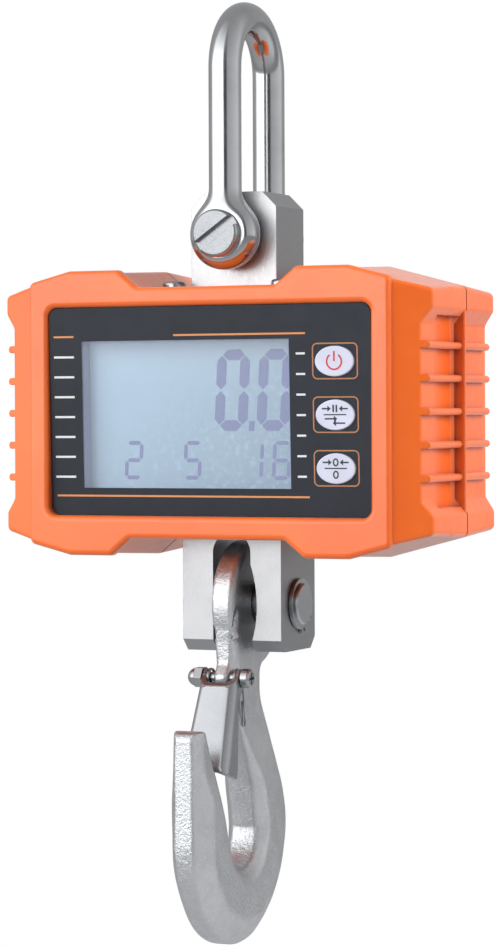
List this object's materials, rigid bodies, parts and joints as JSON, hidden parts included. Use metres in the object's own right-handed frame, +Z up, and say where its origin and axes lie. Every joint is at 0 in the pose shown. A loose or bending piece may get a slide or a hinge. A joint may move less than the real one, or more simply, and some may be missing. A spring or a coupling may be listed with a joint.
{
  "type": "crane scale",
  "caption": "Hanging crane scale: die-cast housing with digital display and keys on a steel load beam, shackle above, swinging forged safety hook below.",
  "frame": {"origin": "the point inside the shackle's crown where a crane hook bears", "axes": "+Z up along the hanging line, -Y out of the display, +X to the right of a person reading it"},
  "size_m": [0.174, 0.1019, 0.3563],
  "materials": {
    "orange_paint": "glossy orange powder coat",
    "rubber": "matt black rubber",
    "screw_steel": "bright plated steel",
    "overlay_charcoal": "smooth charcoal overlay film",
    "black_plastic": "moulded black plastic",
    "clear_window": "clear acrylic",
    "lcd_grey": "grey-blue liquid crystal glass",
    "backlight_white": "white light guide",
    "board_green": "solder mask",
    "key_white": "satin white moulded key",
    "battery_jacket": "printed-free jacket",
    "contact_nickel": "nickel plate",
    "beam_steel": "fine ground steel",
    "gauge_amber": "polyimide foil",
    "polished_steel": "polished stainless",
    "pin_steel": "turned steel",
    "forged_steel": "blasted and galvanised forging",
    "latch_steel": "zinc-plated sheet"
  },
  "bodies": {
    "shackle": {"shackle_bow": "polished_steel", "shackle_pin": "pin_steel"},
    "hook_body": {"hook": "forged_steel", "latch_bolt": "screw_steel", "latch_nut": "screw_steel", "latch_spring": "contact_nickel"},
    "latch_body": {"latch": "latch_steel"},
    "power_key_body": {"power_key": "key_white"},
    "hold_key_body": {"hold_key": "key_white"},
    "tare_key_body": {"tare_key": "key_white"},
    "scale_body": {"battery_box": "black_plastic", "battery_cells": "battery_jacket", "battery_contacts": "contact_nickel", "battery_cover": "orange_paint", "battery_cover_gasket": "rubber", "battery_cover_screws": "screw_steel", "board_screws": "screw_steel", "bottom_seal": "rubber", "buzzer": "black_plastic", "control_chips": "black_plastic", "display_frame": "black_plastic", "display_overlay": "overlay_charcoal", "front_shell": "orange_paint", "gauge_covers": "contact_nickel", "gauge_lead": "rubber", "hook_pin": "pin_steel", "hook_pin_clip": "pin_steel", "key_switches": "black_plastic", "lcd_backlight": "backlight_white", "lcd_glass": "lcd_grey", "lcd_holder": "lcd_grey", "lcd_window": "clear_window", "load_beam": "beam_steel", "main_board": "board_green", "rear_shell": "orange_paint", "shell_gasket": "rubber", "shell_screws": "screw_steel", "strain_gauges": "gauge_amber", "top_screws": "screw_steel", "top_seal": "rubber"}
  },
  "joints": [
    {"name": "shackle_swing", "type": "hinge", "parent": "shackle", "child": "scale_body", "pos_m": [0, 0, -0.0772], "axis": [0, 1, 0], "range_deg": [-90, 90]},
    {"name": "hook_swing", "type": "hinge", "parent": "scale_body", "child": "hook_body", "pos_m": [0, 0, -0.2169], "axis": [1, 0, 0], "range_deg": [-35, 60]},
    {"name": "latch_open", "type": "hinge", "parent": "hook_body", "child": "latch_body", "pos_m": [0, -0.024, -0.2437], "axis": [1, 0, 0], "range_deg": [0, 34], "stiffness_Nm_per_rad": 0.05, "springref_deg": -22.92},
    {"name": "power_key_press", "type": "slide", "parent": "scale_body", "child": "power_key_body", "axis": [0, 0.9994, 0.0336], "range_m": [0, 0.0006], "stiffness_N_per_m": 900},
    {"name": "hold_key_press", "type": "slide", "parent": "scale_body", "child": "hold_key_body", "axis": [0, 0.9994, 0.0336], "range_m": [0, 0.0006], "stiffness_N_per_m": 900},
    {"name": "tare_key_press", "type": "slide", "parent": "scale_body", "child": "tare_key_body", "axis": [0, 0.9994, 0.0336], "range_m": [0, 0.0006], "stiffness_N_per_m": 900}
  ]
}
